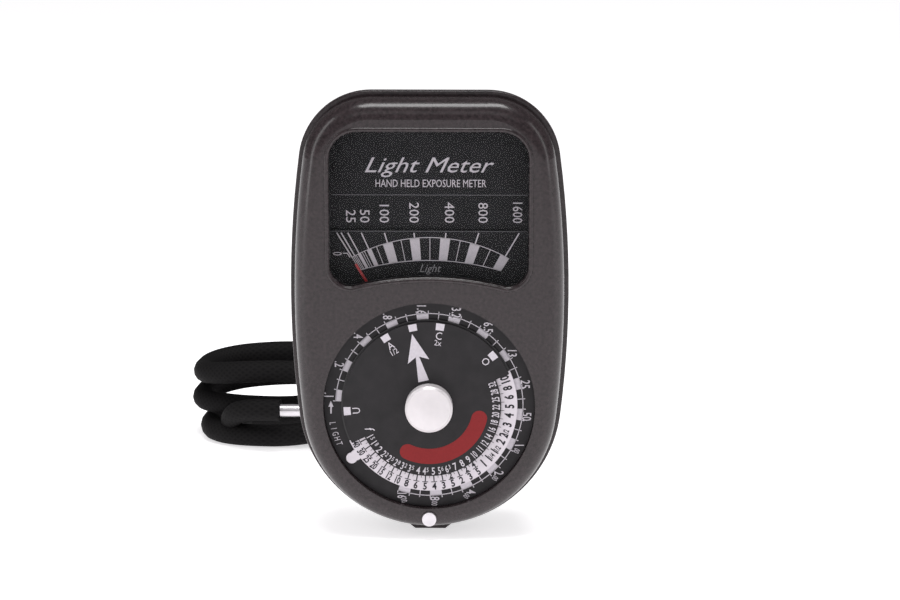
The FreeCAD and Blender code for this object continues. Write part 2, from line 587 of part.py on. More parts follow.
node("rear_plate", block("rear_plate", "-14.9", "14.9", "back_y - 0.4", "back_y", "26.1", "41.9"))

# ---- fixings ----------------------------------------------------------------------------
fixings = []
for label, x, z, top in (("low", "screw_low_x", "screw_low_z", f"{floor_back} + 0.2"),
                         ("high", "screw_high_x", "screw_high_z", "face_y + face_wall + 1.2")):
    fixings += pair(rod, f"screw_shank_{label}", x, "screw_radius", "X", z, top, "11.0")
    fixings += pair(rod, f"screw_cap_{label}", x, "screw_head - 0.05", "X", z, "10.9", "11.5")
node("case_screws", join("case_screws", *fixings))

# ---- lug and neck cord ------------------------------------------------------------------
foot = [("foot_narrow / 2", "0", None), ("foot_wide / 2", "1.6", None), ("foot_wide / 2", "foot_top", None)]
lug = prism("lug_blank", mirrored(foot), "foot_front", "foot_back")
node("cord_lug", cut("cord_lug", lug, rod("lug_hole", "ferrule_radius", "0", "1.9", "foot_back - 2.5", "20")))
node("cord_ferrule", rod("cord_ferrule", "ferrule_radius", "0", "1.9", "foot_back - 2.5", "ferrule_end"))
node("end_ferrule", bar("end_ferrule", "end_ferrule_radius", "coil_y - coil_half_wide - end_ferrule_radius",
                        "end_ferrule_z", "coil_x - 1.5", "coil_x + 9"))

CORD_POINTS = (("0", "ferrule_end + 0.3"), ("1.5", "ferrule_end + 30"), ("coil_x + 24.3", "coil_y - 12.3"))
route = [V(value(x), value(y), value("cord_diameter / 2")) for x, y in CORD_POINTS]
before = (route[1] - route[0])
after = (route[2] - route[1])
turn = before.getAngle(after)
trim = 0.45 * min(before.Length, after.Length)
bend = trim / math.tan(turn / 2)
print("neck_cord_lead bend radius", round(bend, 2), "turn", round(math.degrees(turn), 1))
enter = route[1] - before.normalize() * trim
leave = route[1] + after.normalize() * trim
chord_mid = (enter + leave) * 0.5
inward = (chord_mid - route[1]).normalize()
apex = route[1] + inward * (bend / math.cos(turn / 2) - bend)
path = Part.Wire([Part.makeLine(route[0], enter), Part.Arc(enter, apex, leave).toShape(),
                  Part.makeLine(leave, route[2])])
radius = value("cord_diameter") / 2
ring = Part.Wire([Part.makeCircle(radius, route[0], route[1] - route[0])])
lead = doc.addObject("Part::Feature", "neck_cord_lead")
lead.Shape = path.makePipeShell([ring], True, False)
expected = math.pi * radius ** 2 * path.Length
print("neck_cord_lead length", round(path.Length, 1), "volume ratio", round(lead.Shape.Volume / expected, 4))
node("neck_cord_lead", lead)


def oval(name, half_long, half_wide, low, high):
    """A stadium-shaped slab lying on the floor."""
    reach = f"({half_long}) - ({half_wide})"
    middle = block(name + "_mid", f"coil_x - ({reach})", f"coil_x + ({reach})", f"coil_y - ({half_wide})",
                   f"coil_y + ({half_wide})", low, high)
    caps = []
    for side, sign in (("right", "+"), ("left", "-")):
        cap = doc.addObject("Part::Cylinder", f"{name}_{side}")
        bind(cap, "Radius", half_wide)
        bind(cap, "Height", f"({high}) - ({low})")
        caps.append(at(cap, f"coil_x {sign} ({reach})", "coil_y", low))
    return join(name, middle, *caps)


node("neck_cord_coil", cut("neck_cord_coil",
                           oval("coil_outer_slab", "coil_half_long", "coil_half_wide", "0", "coil_height"),
                           oval("coil_inner_slab", "coil_half_long - 17 + coil_hole", "coil_hole", "-1", "30")))

# ---- checks and export ------------------------------------------------------------------
doc.recompute()
for obj in doc.Objects:
    if "Invalid" in obj.State or "Error" in obj.State:
        raise RuntimeError(f"{obj.Label}: {obj.State}")
os.makedirs("parts", exist_ok=True)
for name, obj in NODES.items():
    shape = obj.Shape
    if shape.isNull() or not shape.isValid() or shape.Volume <= 0:
        raise RuntimeError(f"{name}: bad shape")
    shape.exportStep(f"parts/{name}.step")
    print(f"{name:16s} solids {len(shape.Solids)} volume {shape.Volume:10.2f}")
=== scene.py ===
"""Looks of the handheld light meter: enamel case, printed dials and scale, neck cord, studio."""
import json
import math

import bmesh
import bpy
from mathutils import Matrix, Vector


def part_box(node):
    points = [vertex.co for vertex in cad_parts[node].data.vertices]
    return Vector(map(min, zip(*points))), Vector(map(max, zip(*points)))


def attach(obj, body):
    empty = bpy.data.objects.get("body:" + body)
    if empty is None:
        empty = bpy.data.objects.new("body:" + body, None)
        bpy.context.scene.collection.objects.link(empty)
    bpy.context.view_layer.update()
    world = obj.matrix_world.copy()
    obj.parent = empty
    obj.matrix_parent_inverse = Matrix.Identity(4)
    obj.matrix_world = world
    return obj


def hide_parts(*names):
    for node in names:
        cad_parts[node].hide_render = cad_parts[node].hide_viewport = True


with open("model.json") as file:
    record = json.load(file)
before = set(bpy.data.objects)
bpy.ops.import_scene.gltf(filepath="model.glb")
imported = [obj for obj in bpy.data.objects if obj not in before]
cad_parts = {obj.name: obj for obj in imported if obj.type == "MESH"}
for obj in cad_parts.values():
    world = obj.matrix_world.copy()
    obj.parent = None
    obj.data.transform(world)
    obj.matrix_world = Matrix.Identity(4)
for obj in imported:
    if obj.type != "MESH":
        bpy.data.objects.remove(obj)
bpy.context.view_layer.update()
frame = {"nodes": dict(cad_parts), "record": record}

MM = 0.001


# ---- where things are -------------------------------------------------------------------
def middle(node):
    low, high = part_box(node)
    return [(a + b) / 2 for a, b in zip(low, high)]


def front_of(node):
    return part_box(node)[0][1]


DIAL_X, _, DIAL_Z = middle("light_dial")
_, _, PIVOT_Z = middle("pivots")


# ---- camera, light and floor ------------------------------------------------------------
def add_camera():
    """Stands where the photo's camera stood: a little to the right of the meter and above it."""
    azimuth, elevation, distance = math.radians(1.0), math.radians(12.0), 0.580
    target = Vector((DIAL_X + 4.5 * MM, front_of("front_case"), DIAL_Z + 23.55 * MM))
    outward = Vector((math.sin(azimuth) * math.cos(elevation),
                      -math.cos(azimuth) * math.cos(elevation),
                      math.sin(elevation)))
    data = bpy.data.cameras.new("camera")
    data.lens = 108.8
    data.sensor_width = 36.0
    camera = bpy.data.objects.new("camera", data)
    camera.location = target + outward * distance
    camera.rotation_euler = (-outward).to_track_quat("-Z", "Y").to_euler()
    bpy.context.collection.objects.link(camera)
    bpy.context.scene.camera = camera


def area_light(name, place, aim, size, power, shade=(1, 1, 1)):
    data = bpy.data.lights.new(name, "AREA")
    data.shape = "RECTANGLE"
    data.size, data.size_y = size
    data.energy = power
    data.color = shade
    light = bpy.data.objects.new(name, data)
    light.location = place
    light.rotation_euler = (Vector(aim) - Vector(place)).to_track_quat("-Z", "Y").to_euler()
    bpy.context.collection.objects.link(light)


def add_studio():
    """Four soft lamps and a white world, which is brighter seen directly than by reflection."""
    lit_diffuse, lit_glossy, seen_extra = 0.42, 0.12, 0.8
    aim = (0.0, 0.0, 0.05)
    area_light("key_above", (0.05, -0.10, 0.90), aim, (0.56, 0.26), 5.0)
    area_light("strip_left", (-0.62, -0.30, 0.30), aim, (0.16, 0.7), 1.3)
    area_light("strip_right", (0.70, -0.25, 0.32), aim, (0.16, 0.6), 0.8)
    area_light("front_soft", (0.0, -1.0, 0.75), aim, (0.9, 0.4), 0.8)
    world = bpy.data.worlds.new("studio")
    world.use_nodes = True
    tree = world.node_tree
    sky = tree.nodes["Background"]
    sky.inputs["Color"].default_value = (1.0, 1.0, 1.0, 1.0)
    path = tree.nodes.new("ShaderNodeLightPath")
    level = tree.nodes.new("ShaderNodeMapRange")
    level.inputs["To Min"].default_value = lit_diffuse
    level.inputs["To Max"].default_value = lit_glossy
    tree.links.new(path.outputs["Is Glossy Ray"], level.inputs["Value"])
    backdrop = tree.nodes.new("ShaderNodeMath")
    backdrop.operation = "MULTIPLY_ADD"
    backdrop.inputs[1].default_value = seen_extra
    tree.links.new(path.outputs["Is Camera Ray"], backdrop.inputs[0])
    tree.links.new(level.outputs["Result"], backdrop.inputs[2])
    tree.links.new(backdrop.outputs[0], sky.inputs["Strength"])
    bpy.context.scene.world = world
    bpy.context.scene.view_settings.view_transform = "Standard"


# ---- materials --------------------------------------------------------------------------
SILVER = (0.64, 0.59, 0.64)
RING_BLACK = (0.022, 0.020, 0.022)
RING_SPLIT_ANGLE = 114.5
BRAID_DARK, BRAID_LIGHT = (0.004, 0.0036, 0.004), (0.0085, 0.0078, 0.0082)


class Shade:
    """A node material, with short ways to add noise, ramps and bumps."""

    def __init__(self, name, colour, roughness, metallic=0.0, **sockets):
        self.material = bpy.data.materials.new(name)
        self.material.use_nodes = True
        self.tree = self.material.node_tree
        self.shader = self.tree.nodes["Principled BSDF"]
        self.shader.inputs["Base Color"].default_value = (*colour, 1.0)
        self.shader.inputs["Roughness"].default_value = roughness
        self.shader.inputs["Metallic"].default_value = metallic
        for socket, number in sockets.items():
            self.shader.inputs[socket.replace("_", " ")].default_value = number
        self.colour = colour
        self.roughness = roughness
        self.place = self.add("ShaderNodeTexCoord").outputs["Object"]

    def add(self, kind, **fields):
        node = self.tree.nodes.new(kind)
        for field, content in fields.items():
            setattr(node, field, content)
        return node

    def link(self, a, b):
        self.tree.links.new(a, b)

    def noise(self, scale, detail=3.0, rough=0.5, place=None):
        node = self.add("ShaderNodeTexNoise")
        node.inputs["Scale"].default_value = scale
        node.inputs["Detail"].default_value = detail
        node.inputs["Roughness"].default_value = rough
        self.link(place or self.place, node.inputs["Vector"])
        return node.outputs["Fac"]

    def ramp(self, source, low, high, first, last):
        node = self.add("ShaderNodeValToRGB")
        node.color_ramp.elements[0].position = low
        node.color_ramp.elements[1].position = high
        node.color_ramp.elements[0].color = first
        node.color_ramp.elements[1].color = last
        self.link(source, node.inputs["Fac"])
        return node.outputs["Color"]

    def span(self, source, low, high):
        node = self.add("ShaderNodeMapRange")
        node.inputs["To Min"].default_value = low
        node.inputs["To Max"].default_value = high
        self.link(source, node.inputs["Value"])
        return node.outputs["Result"]

    def vary(self, scale, amount, detail=4.0):
        """Colour that drifts lighter and darker by a share of itself."""
        dark = tuple(c * (1 - amount) for c in self.colour) + (1.0,)
        light = tuple(min(1.0, c * (1 + amount)) for c in self.colour) + (1.0,)
        self.link(self.ramp(self.noise(scale, detail), 0.3, 0.7, dark, light),
                  self.shader.inputs["Base Color"])
        return self

    def gloss(self, scale, amount):
        """Roughness that drifts either side of its own value."""
        low, high = max(0.02, self.roughness - amount), self.roughness + amount
        self.link(self.span(self.noise(scale, 5.0, 0.6), low, high),
                  self.shader.inputs["Roughness"])
        return self

    def bump(self, source, strength, distance=0.0001):
        node = self.add("ShaderNodeBump")
        node.inputs["Strength"].default_value = strength
        node.inputs["Distance"].default_value = distance
        self.link(source, node.inputs["Height"])
        old = self.shader.inputs["Normal"].links
        if old:
            self.link(old[0].from_socket, node.inputs["Normal"])
        self.link(node.outputs["Normal"], self.shader.inputs["Normal"])
        return self

    def rings(self, x, z, scale):
        """Fine turned rings about a Y axis through (x, z)."""
        shift = self.add("ShaderNodeMapping")
        shift.inputs["Location"].default_value = (-x, 0.0, -z)
        self.link(self.place, shift.inputs["Vector"])
        node = self.add("ShaderNodeTexWave", wave_type="RINGS", rings_direction="Y")
        node.inputs["Scale"].default_value = scale
        node.inputs["Distortion"].default_value = 1.2
        node.inputs["Detail"].default_value = 3.0
        node.inputs["Detail Scale"].default_value = 2.0
        self.link(shift.outputs["Vector"], node.inputs["Vector"])
        return node.outputs["Fac"]


def enamel():
    shade = Shade("enamel", (0.026, 0.0185, 0.0205), 0.27, Coat_Weight=0.22, Coat_Roughness=0.06,
                  Specular_IOR_Level=0.3)
    shade.vary(1500, 0.45, 6.0).gloss(700, 0.06)
    shade.bump(shade.noise(1500, 3.0), 0.22, 0.00005)
    return shade.bump(shade.noise(5200, 2.0), 0.10, 0.00002).material


def dial_black():
    shade = Shade("dial_black", (0.018, 0.016, 0.018), 0.50, Specular_IOR_Level=0.25)
    shade.vary(300, 0.2).gloss(500, 0.07)
    return shade.bump(shade.rings(DIAL_X, DIAL_Z, 1400), 0.05, 0.00002).material


def scale_black():
    shade = Shade("scale_black", (0.016, 0.0150, 0.0175), 0.6, Specular_IOR_Level=0.15)
    shade.vary(220, 0.18).gloss(900, 0.06)
    return shade.bump(shade.noise(2500, 2.0), 0.04, 0.00001).material


def silver_satin():
    shade = Shade("dial_silver", SILVER, 0.40, 0.15)
    shade.vary(900, 0.06).gloss(1500, 0.08)
    return shade.bump(shade.rings(DIAL_X, DIAL_Z, 2600), 0.10, 0.00002).material


def silver_and_black():
    """The speed ring: silver under its figures, black enamel on the half under the top dial."""
    shade = Shade("dial_ring", SILVER, 0.40, 0.15)
    shade.gloss(1500, 0.08)
    shift = shade.add("ShaderNodeMapping")
    shift.inputs["Location"].default_value = (-DIAL_X, 0.0, -DIAL_Z)
    shade.link(shade.place, shift.inputs["Vector"])
    across = shade.add("ShaderNodeVectorMath", operation="DOT_PRODUCT")
    lean = math.radians(RING_SPLIT_ANGLE)
    across.inputs[1].default_value = (math.cos(lean), 0.0, math.sin(lean))
    shade.link(shift.outputs["Vector"], across.inputs[0])
    side = shade.add("ShaderNodeMath", operation="GREATER_THAN")
    side.inputs[1].default_value = 0.0
    shade.link(across.outputs["Value"], side.inputs[0])
    shade.link(shade.ramp(side.outputs[0], 0.4, 0.6, (*SILVER, 1), (*RING_BLACK, 1)),
               shade.shader.inputs["Base Color"])
    return shade.bump(shade.rings(DIAL_X, DIAL_Z, 2600), 0.10, 0.00002).material


def spun_aluminium():
    shade = Shade("spun_aluminium", (0.72, 0.68, 0.70), 0.36, 0.25)
    # the broad lighter and darker drift in this colour is painted reflection shading: it stands in
    # for the darker patch the spun face reflects, scattered by noise rather than placed
    shade.vary(160, 0.10).gloss(900, 0.05)
    return shade.bump(shade.rings(DIAL_X, DIAL_Z, 2200), 0.22, 0.00003).material


def plain_metal(name, colour, roughness, grain=1800):
    shade = Shade(name, colour, roughness, 0.7)
    shade.vary(600, 0.08).gloss(800, 0.07)
    return shade.bump(shade.noise(grain, 3.0), 0.12, 0.00003).material


def glass():
    shade = Shade("window_glass", (0.02, 0.025, 0.025), 0.04, IOR=1.5, Alpha=0.06)
    shade.gloss(400, 0.02)
    return shade.material


def gasket_rubber():
    shade = Shade("gasket_rubber", (0.016, 0.015, 0.016), 0.7)
    shade.vary(800, 0.2)
    return shade.bump(shade.noise(3000, 3.0), 0.2, 0.00004).material


def needle_red():
    shade = Shade("needle_red", (0.50, 0.035, 0.04), 0.40)
    return shade.vary(900, 0.12).gloss(900, 0.05).material


def selenium():
    shade = Shade("selenium", (0.050, 0.048, 0.062), 0.32, 0.35, Coat_Weight=0.4)
    shade.vary(60, 0.25).gloss(200, 0.08)
    return shade.bump(shade.noise(2500, 3.0), 0.08, 0.00003).material


def board_brown():
    shade = Shade("board", (0.17, 0.08, 0.035), 0.55)
    shade.vary(300, 0.2)
    return shade.bump(shade.noise(1500, 4.0), 0.15, 0.00005).material


def ink(name, colour):
    shade = Shade(name, colour, 0.50, Specular_IOR_Level=0.25)
    shade.vary(2500, 0.06).gloss(2000, 0.06)
    return shade.material


def braid():
    """A tightly woven black sleeve: two crossing sets of fine strands, with fuzz."""
    strands_along, strands_round = CORD_LENGTH / CORD_DIAMETER * 4.4, 16.0
    shade = Shade("cord_braid", (0.006, 0.0055, 0.006), 0.75, Specular_IOR_Level=0.12)
    uv = shade.add("ShaderNodeTexCoord").outputs["UV"]
    height = None
    for side in (-1, 1):
        turn = shade.add("ShaderNodeMapping")
        turn.inputs["Scale"].default_value = (strands_along, strands_round * side, 1.0)
        shade.link(uv, turn.inputs["Vector"])
        strands = shade.add("ShaderNodeTexWave", wave_type="BANDS", bands_direction="DIAGONAL")
        strands.inputs["Scale"].default_value = 0.5
        shade.link(turn.outputs["Vector"], strands.inputs["Vector"])
        if height is None:
            height = strands.outputs["Fac"]
            continue
        both = shade.add("ShaderNodeMath", operation="MAXIMUM")
        shade.link(height, both.inputs[0])
        shade.link(strands.outputs["Fac"], both.inputs[1])
        height = both.outputs[0]
    shade.link(shade.ramp(height, 0.2, 0.95, (*BRAID_DARK, 1), (*BRAID_LIGHT, 1)),
               shade.shader.inputs["Base Color"])
    shade.bump(height, 0.35, 0.0001)
    return shade.bump(shade.noise(5000, 3.0), 0.2, 0.00004).material


def floor_white():
    shade = Shade("floor_white", (0.90, 0.89, 0.90), 0.6, Emission_Color=(1.0, 0.99, 1.0, 1.0),
                  Emission_Strength=0.59)
    return shade.vary(3, 0.012).gloss(40, 0.04).material


def paint_nodes():
    """Gives each CAD node the finish of its material slot, and the ring its half-black one."""
    steel = plain_metal("steel", (0.68, 0.65, 0.68), 0.30)
    brass = plain_metal("brass", (0.60, 0.44, 0.20), 0.34)
    finishes = {
        "enamel": enamel(),
        "glass": glass(),
        "rubber": gasket_rubber(),
        "scale_black": scale_black(),
        "dial_black": dial_black(),
        "dial_silver": silver_satin(),
        "spun_aluminium": spun_aluminium(),
        "steel": steel,
        "brass": brass,
        "magnet_steel": plain_metal("magnet_steel", (0.16, 0.16, 0.17), 0.5),
        "needle_red": needle_red(),
        "copper_coil": plain_metal("copper_coil", (0.55, 0.26, 0.13), 0.4, 4000),
        "selenium": selenium(),
        "board": board_brown(),
        "cord": None,    # the CAD cord nodes are replaced by the neck cord below
    }
    for part in frame["record"]["subparts"]:
        finish = finishes[part["material_slot"]]
        piece = frame["nodes"][part["node"]]
        if finish is not None:
            piece.data.materials.clear()
            piece.data.materials.append(finish)
    ring = frame["nodes"]["speed_ring"]
    ring.data.materials.clear()
    ring.data.materials.append(silver_and_black())
    return finishes


# ---- neck cord --------------------------------------------------------------------------
CORD_DIAMETER = 5.4 * MM
CORD_LENGTH = 0.465
COIL_X, COIL_Y = -36.5, 80.0
POINTS_PER_TURN = 16
# each quarter turn from the right-hand side, anticlockwise from above: how far out the loop
# reaches from the middle of the pile, and how high its centre line lies
REACH = (21.5, 13.0, 20.4, 13.3, 20.0, 10.5, 22.4, 6.5, 20.0, 10.5, 22.0, 11.0, 20.0, 8.0, 14.0)
HEIGHT = (2.7, 2.7, 2.7, 2.7, 10.5, 12.8, 9.5, 8.2, 14.0, 18.6, 16.2, 18.6, 14.0, 2.7, 2.9)


def smooth(share):
    """An even slope, half eased at both ends."""
    return (share + share * share * (3 - 2 * share)) / 2


def squared(side):
    """Makes an oval fuller at its corners."""
    return math.copysign(abs(side) ** 0.72, side)


def cord_route():
    """The lead's route, then loose oval turns that fan open as they climb, then the free end,
    which drops inside the pile and comes out over the front of it into its ferrule."""
    route = [(0.0, 15.3, 2.7), (1.5, 45.0, 2.7), (-12.2, 67.7, 2.7)]
    per_quarter = POINTS_PER_TURN // 4
    for step in range(1, (len(REACH) - 1) * per_quarter):
        quarter, share = divmod(step / per_quarter, 1)
        quarter = int(quarter)
        angle = 2 * math.pi * step / POINTS_PER_TURN
        wide = REACH[2 * int((quarter + share) / 2 + 0.5)]
        deep = REACH[min(2 * (quarter // 2) + 1, len(REACH) - 2)]
        height = HEIGHT[quarter] + (HEIGHT[quarter + 1] - HEIGHT[quarter]) * smooth(share)
        route.append((COIL_X + wide * squared(math.cos(angle)),
                      COIL_Y + deep * squared(math.sin(angle)), height))
    free_end = [(-51.0, 74.0, 2.9), (-50.5, 67.0, 8.2), (-45.0, 62.5, 10.6), (-38.0, 61.5, 10.5)]
    return route + free_end


def add_cord(finish):
    route = cord_route()
    data = bpy.data.curves.new("neck_cord", "CURVE")
    data.dimensions = "3D"
    data.bevel_depth = CORD_DIAMETER / 2
    data.bevel_resolution = 5
    data.resolution_u = 6
    data.use_fill_caps = True
    spline = data.splines.new("NURBS")
    spline.points.add(len(route) - 1)
    for point, place in zip(spline.points, route):
        point.co = (*[c * MM for c in place], 1.0)
    spline.order_u = 3
    spline.use_endpoint_u = True
    cord = bpy.data.objects.new("neck_cord", data)
    bpy.context.collection.objects.link(cord)
    data.materials.append(finish)
    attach(cord, "case")
    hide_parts("neck_cord_lead", "neck_cord_coil")


# ---- printing ---------------------------------------------------------------------------
INK_ABOVE, INK_BELOW = 0.03, -0.02    # mm, from the face the ink is printed on
CAP_HEIGHT = 0.70                    # of Blender's own font, at size 1


class Print:
    """Raised ink on one face: flat shapes and figures, drawn in mm about a centre."""

    def __init__(self, name, node, body, slot, finish, centre_z=None, back=False):
        self.mesh = bmesh.new()
        self.name, self.body, self.slot, self.finish = name, body, slot, finish
        self.centre_z = DIAL_Z if centre_z is None else centre_z
        self.sign = 1 if back else -1
        self.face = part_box(node)[1][1] if back else front_of(node)

    def shape(self, outline):
        """A closed outline of (x, z), anticlockwise seen from the front."""
        rings = []
        for depth in (INK_ABOVE, INK_BELOW):
            y = self.face + self.sign * depth * MM
            rings.append([self.mesh.verts.new((-self.sign * x * MM + DIAL_X, y,
                                               self.centre_z + z * MM))
                          for x, z in outline])
        top, bottom = rings
        self.mesh.faces.new(top)
        self.mesh.faces.new(list(reversed(bottom)))
        for index in range(len(outline)):
            after = (index + 1) % len(outline)
            self.mesh.faces.new((top[after], top[index], bottom[index], bottom[after]))

    def arc(self, inner, outer, start, stop):
        count = max(2, int(abs(stop - start) / 3))
        angles = [math.radians(start + (stop - start) * i / count) for i in range(count + 1)]
        near = [(inner * math.cos(a), inner * math.sin(a)) for a in angles]
        far = [(outer * math.cos(a), outer * math.sin(a)) for a in angles]
        self.shape(far + near[::-1])

    def line(self, start, stop, width):
        (ax, az), (bx, bz) = start, stop
        length = math.hypot(bx - ax, bz - az)
        nx, nz = -(bz - az) / length * width / 2, (bx - ax) / length * width / 2
        self.shape([(ax - nx, az - nz), (bx - nx, bz - nz),
                    (bx + nx, bz + nz), (ax + nx, az + nz)])

    def tick(self, angle, inner, outer, width):
        c, s = math.cos(math.radians(angle)), math.sin(math.radians(angle))
        self.line((inner * c, inner * s), (outer * c, outer * s), width)

    def text(self, words, x, z, tall, turn=0.0, squeeze=0.85, bold=0.0, slant=0.0, align="CENTER"):
        """Figures of one height, centred on (x, z) and turned anticlockwise by turn degrees."""
        data = bpy.data.curves.new("words", "FONT")
        data.body = words
        data.extrude = 0.02
        data.offset = bold
        data.shear = slant
        data.resolution_u = 2
        holder = bpy.data.objects.new("words", data)
        bpy.context.collection.objects.link(holder)
        bpy.context.view_layer.update()
        mesh = bpy.data.meshes.new_from_object(holder)
        welded = bmesh.new()
        welded.from_mesh(mesh)
        bmesh.ops.remove_doubles(welded, verts=welded.verts, dist=1e-6)
        welded.to_mesh(mesh)
        welded.free()
        xs = [v.co.x for v in mesh.vertices]
        scale = tall / CAP_HEIGHT
        cx, cy = (min(xs) + max(xs)) / 2, CAP_HEIGHT / 2
        if align == "RIGHT":
            cx = max(xs)
        c, s = math.cos(math.radians(turn)), math.sin(math.radians(turn))
        for vertex in mesh.vertices:
            px, pz = (vertex.co.x - cx) * scale * squeeze, (vertex.co.y - cy) * scale
            depth = INK_ABOVE if vertex.co.z > 0 else INK_BELOW
            wx, wz = x + px * c - pz * s, z + px * s + pz * c
            vertex.co = (-self.sign * wx * MM + DIAL_X, self.face + self.sign * depth * MM,
                         self.centre_z + wz * MM)
        self.mesh.from_mesh(mesh)
        bpy.data.objects.remove(holder)
        bpy.data.meshes.remove(mesh)
        bpy.data.curves.remove(data)

    def finish_piece(self):
        bmesh.ops.recalc_face_normals(self.mesh, faces=self.mesh.faces)
        data = bpy.data.meshes.new(self.name)
        self.mesh.to_mesh(data)
        self.mesh.free()
        piece = bpy.data.objects.new(self.name, data)
        data.materials.append(self.finish)
        bpy.context.collection.objects.link(piece)
        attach(piece, self.body)


def polar(angle, radius):
    return radius * math.cos(math.radians(angle)), radius * math.sin(math.radians(angle))


# each light value with its place in mm; the five largest end in two small noughts, which NOUGHTS
# places, with the angle they are turned to
NUMERALS = ((".1", -21.6, 2.2), (".2", -19.3, 9.0), (".4", -15.2, 15.3), (".8", -8.9, 19.5),
            ("1.6", -1.6, 21.0), ("3.2", 5.85, 20.4), ("6.5", 12.7, 17.2), ("13", 17.85, 11.5),
            ("25", 20.7, 4.7), ("50", 21.05, -2.5), ("1", 19.5, -8.9), ("2", 15.1, -15.15),
            ("4", 9.05, -19.35), ("8", 1.2, -20.95), ("16", -5.95, -20.3))
NOUGHTS = {"1": (18.9, -10.15, -115), "2": (14.25, -16.3, -125), "4": (8.05, -20.35, -125),
           "8": (1.1, -22.05, -92), "16": (-5.5, -21.35, -76)}


def ruled(index):
    """The angle of a mark on the two facing scales of the calculator."""
    return -151.3 + 6.48 * index + 0.25 * max(0, index - 15)


def print_light_dial(white):
    """The outer dial: a ruled circle with a block and a value every 20 degrees."""
    circle, block_foot, first, step, line = 20.2, 18.6, 174.1, 20, 0.18
    marks = Print("light_dial_marks", "light_dial", "outer_dial", "dial_silver", white)
    marks.arc(circle - 0.08, circle + 0.09, -109.6, 177.8)
    for index, (label, x, z) in enumerate(NUMERALS):
        angle = first - step * index
        marks.arc(block_foot, circle, angle - 3.7, angle + 3.7)
        for side in (-3.6, 3.6):
            marks.tick(angle + side, circle, circle + 0.6, line)
        if index:
            marks.tick(angle + step / 2, block_foot, circle + 0.5, line)
        marks.text(label, x, z, 2.0, -90, squeeze=0.52 if label == "16" else 0.68, bold=0.008)
        if label in NOUGHTS:
            x, z, turn = NOUGHTS[label]
            marks.text("00", x, z, 1.3, turn, squeeze=0.55)
    x, z = polar(-179.0, 21.25)
    marks.shape([(x - 0.55, z - 0.1), (x + 0.55, z - 0.1), (x, z + 1.2)])
    marks.line((x, z - 1.6), (x + 0.05, z - 0.1), 0.35)
    for index, letter in enumerate("LIGHT"):
        x, z = polar(-168.6 + 3.15 * index, 21.3)
        marks.text(letter, x, z, 1.35, 275 + 3.15 * index, squeeze=0.66)
    marks.finish_piece()


def print_exposure_dial(white, red):
    """The top dial: five blocks with their letters, the arrow, the f-stops and the red band."""
    marks = Print("exposure_dial_marks", "exposure_dial", "top_dial", "dial_silver", white)
    for angle, words in ((101.4, ()), (121.6, ("A", "1/2")), (82.3, ("C", "2x")), (39.4, ("O",)),
                         (183.5, ("U",))):
        marks.arc(16.95, 18.45, angle - 2.9, angle + 2.9)
        for line, word in enumerate(words):
            x, z = polar(angle, 15.75 - 1.55 * line)
            marks.text(word, x, z, 1.65 if line == 0 else 1.2, angle - 90, squeeze=0.9)
    lean = 12.8    # degrees the arrow leans to the left
    c, s = math.cos(math.radians(lean)), math.sin(math.radians(lean))

    def leaned(points):
        return [(x * c - z * s, x * s + z * c) for x, z in points]

    left_head = [(0.0, 16.4), (-2.35, 10.2), (-0.45, 11.2), (0.0, 11.3)]
    right_head = [(0.0, 16.4), (0.0, 11.3), (0.45, 11.2), (2.35, 10.2)]
    stem = [(-0.36, 11.3), (-1.05, 5.75), (1.25, 5.75), (0.36, 11.3)]
    for outline in (left_head, right_head, stem):
        marks.shape(leaned(outline))
    stops = ("1.5", "1.8", "2", "2.2", "2.5", "2.8", "3.2", "3.5", "4", "4.5", "5", "5.6", "6.3",
             "7", "8", "9", "10", "11", "12", "14", "16", "18", "20", "22", "25", "28", "32")
    row, tall = 14.4, 1.6
    for index, stop in enumerate(stops):
        angle = ruled(index)
        x, z = polar(angle, row)
        whole, _, part = stop.partition(".")
        turn = angle + 90
        if not part:
            narrow = 0.52 if len(whole) > 1 else 0.75
            marks.text(whole, x, z, tall, turn, squeeze=narrow, bold=0.01)
            continue
        ax, az = polar(angle - 1.2, row)
        bx, bz = polar(angle + 1.6, row - 0.3)
        marks.text(whole, ax, az, tall, turn, squeeze=0.64, bold=0.01)
        marks.text(part, bx, bz, 1.0, turn, squeeze=0.75)
    x, z = polar(-158.0, 13.8)
    marks.text("f", x, z, 1.9, -65, slant=0.5)
    marks.finish_piece()
    band = Print("contrast_band", "exposure_dial", "top_dial", "needle_red", red)
    low, high, middle_radius, half = 245.2, 346.6, 11.1, 1.7
    steps = 36
    outer = [polar(low + 101.4 * i / steps, 12.8) for i in range(steps + 1)]
    inner = [polar(high - 101.4 * i / steps, 9.4) for i in range(steps + 1)]
    caps = []
    for angle, first in ((high, high), (low, 65.2)):
        x, z = polar(angle, middle_radius)
        caps.append([(x + half * math.cos(math.radians(first + 15 * i)),
                      z + half * math.sin(math.radians(first + 15 * i))) for i in range(1, 12)])
    band.shape(outer + caps[0] + inner + caps[1])
    band.finish_piece()


